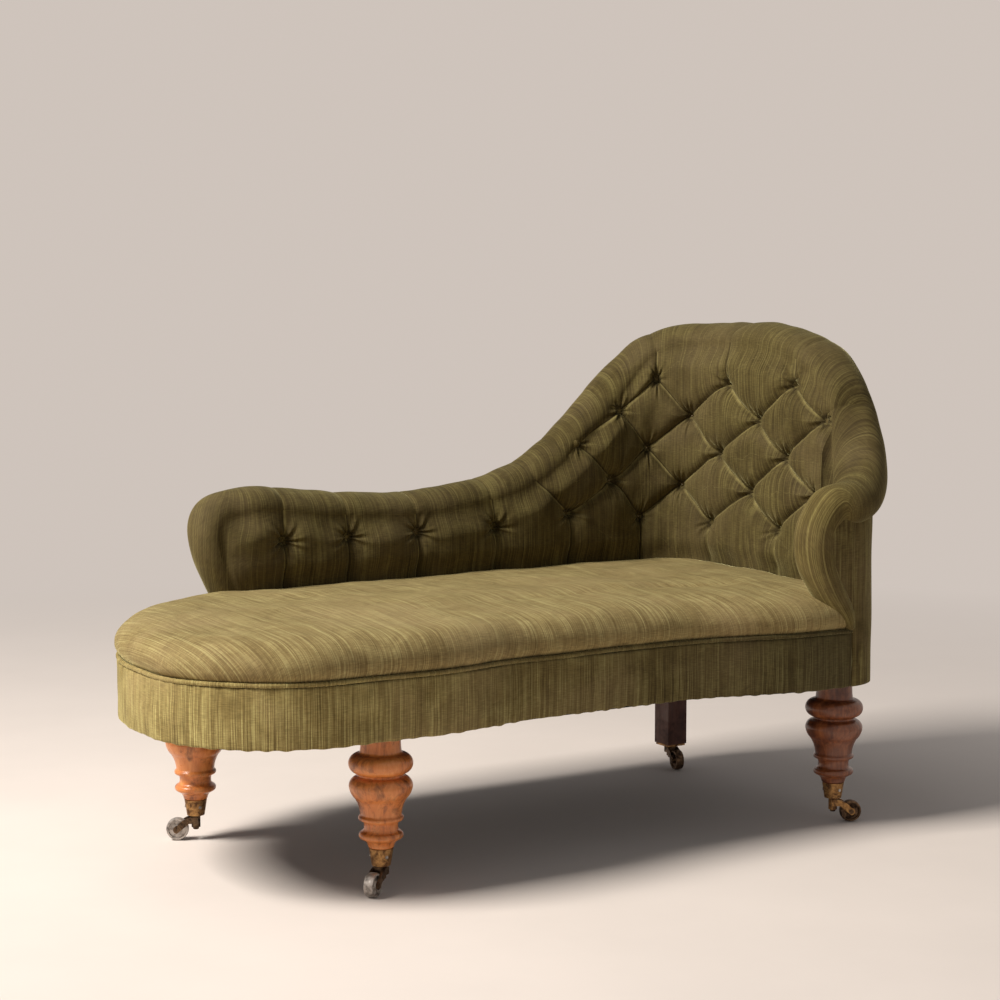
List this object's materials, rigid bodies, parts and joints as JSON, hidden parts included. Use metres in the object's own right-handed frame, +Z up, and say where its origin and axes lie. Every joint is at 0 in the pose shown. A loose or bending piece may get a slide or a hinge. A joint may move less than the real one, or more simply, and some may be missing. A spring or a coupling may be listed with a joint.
{
  "type": "chaise longue",
  "caption": "Buttoned chaise longue with a raised round head end, a low long back, a rounded foot and short legs on casters.",
  "frame": {"origin": "on the floor, under the middle of the chaise's overall length and depth", "axes": "+X along the length towards the raised head end, +Y across the depth towards the long back, +Z up"},
  "size_m": [1.3329, 0.702, 0.868],
  "materials": {
    "turned_wood": "polished, worn and stained",
    "square_wood": "dull reddish stain",
    "frame_wood": "sawn, unfinished",
    "aged_brass": "aged and dark in the hollows",
    "dark_bronze": "dark, worn at the edges",
    "wheel_metal": "dull, rolled bright on the tread",
    "screw_steel": "dull",
    "frame_iron": "black, satin",
    "spring_steel": "dull, coppered",
    "velvet": "striped pile, worn",
    "seat_velvet": "striped pile, faded",
    "hessian": "coarse weave",
    "webbing": "herringbone weave",
    "dust_cloth": "black, plain weave",
    "twine": "waxed"
  },
  "bodies": {
    "chaise": {"leg_foot_front": "turned_wood", "caster_socket_foot_front": "aged_brass", "leg_foot_rear": "turned_wood", "caster_socket_foot_rear": "aged_brass", "leg_head_front": "turned_wood", "caster_socket_head_front": "aged_brass", "leg_head_rear": "square_wood", "caster_plate_head_rear": "aged_brass", "caster_screws": "screw_steel", "seat_rail_foot": "frame_wood", "seat_rail_front": "frame_wood", "seat_rail_rear": "frame_wood", "seat_rail_head": "frame_wood", "corner_blocks": "frame_wood", "seat_cross_rail": "frame_wood", "webbing_long": "webbing", "webbing_cross": "webbing", "dust_cloth": "dust_cloth", "seat_springs": "spring_steel", "seat_hessian": "hessian", "back_hessian": "hessian", "seat_pad": "seat_velvet", "arm_front_pad": "velvet", "seat_border": "velvet", "seat_welt": "velvet", "back_buttons": "velvet", "low_back_pad": "velvet", "rising_back_pad": "velvet", "corner_back_pad": "velvet", "head_back_pad": "velvet", "arm_pad": "velvet", "low_back_end_pad": "velvet", "outside_low_back": "velvet", "outside_back_corner": "velvet", "outside_head": "velvet", "outside_arm": "velvet", "button_twines": "twine", "back_top_rod": "frame_iron", "back_uprights": "frame_iron", "back_lath": "frame_iron", "upright_screws": "screw_steel"},
    "caster_foot_front": {"caster_fork_foot_front": "dark_bronze", "caster_pin_foot_front": "dark_bronze", "caster_axle_foot_front": "dark_bronze"},
    "wheel_foot_front": {"caster_wheel_foot_front": "wheel_metal"},
    "caster_foot_rear": {"caster_fork_foot_rear": "dark_bronze", "caster_pin_foot_rear": "dark_bronze", "caster_axle_foot_rear": "dark_bronze"},
    "wheel_foot_rear": {"caster_wheel_foot_rear": "wheel_metal"},
    "caster_head_front": {"caster_fork_head_front": "aged_brass", "caster_pin_head_front": "dark_bronze", "caster_axle_head_front": "dark_bronze"},
    "wheel_head_front": {"caster_wheel_head_front": "wheel_metal"},
    "caster_head_rear": {"caster_fork_head_rear": "dark_bronze", "caster_pin_head_rear": "dark_bronze", "caster_axle_head_rear": "dark_bronze"},
    "wheel_head_rear": {"caster_wheel_head_rear": "dark_bronze"}
  },
  "joints": [
    {"name": "swivel_foot_front", "type": "hinge", "parent": "chaise", "child": "caster_foot_front", "pos_m": [-0.3535, -0.247, 0.045], "axis": [0, 0, 1], "continuous": true},
    {"name": "roll_foot_front", "type": "hinge", "parent": "caster_foot_front", "child": "wheel_foot_front", "pos_m": [-0.37858, -0.26522, 0.019], "axis": [0.5878, -0.809, 0], "continuous": true},
    {"name": "swivel_foot_rear", "type": "hinge", "parent": "chaise", "child": "caster_foot_rear", "pos_m": [-0.4605, 0.205, 0.045], "axis": [0, 0, 1], "continuous": true},
    {"name": "roll_foot_rear", "type": "hinge", "parent": "caster_foot_rear", "child": "wheel_foot_rear", "pos_m": [-0.48735, 0.2205, 0.019], "axis": [-0.5, -0.866, 0], "continuous": true},
    {"name": "swivel_head_front", "type": "hinge", "parent": "chaise", "child": "caster_head_front", "pos_m": [0.5355, -0.271, 0.045], "axis": [0, 0, 1], "continuous": true},
    {"name": "roll_head_front", "type": "hinge", "parent": "caster_head_front", "child": "wheel_head_front", "pos_m": [0.56287, -0.28555, 0.019], "axis": [0.4695, 0.8829, 0], "continuous": true},
    {"name": "swivel_head_rear", "type": "hinge", "parent": "chaise", "child": "caster_head_rear", "pos_m": [0.564, 0.241, 0.045], "axis": [0, 0, 1], "continuous": true},
    {"name": "roll_head_rear", "type": "hinge", "parent": "caster_head_rear", "child": "wheel_head_rear", "pos_m": [0.55703, 0.2108, 0.019], "axis": [0.9744, -0.225, 0], "continuous": true}
  ]
}
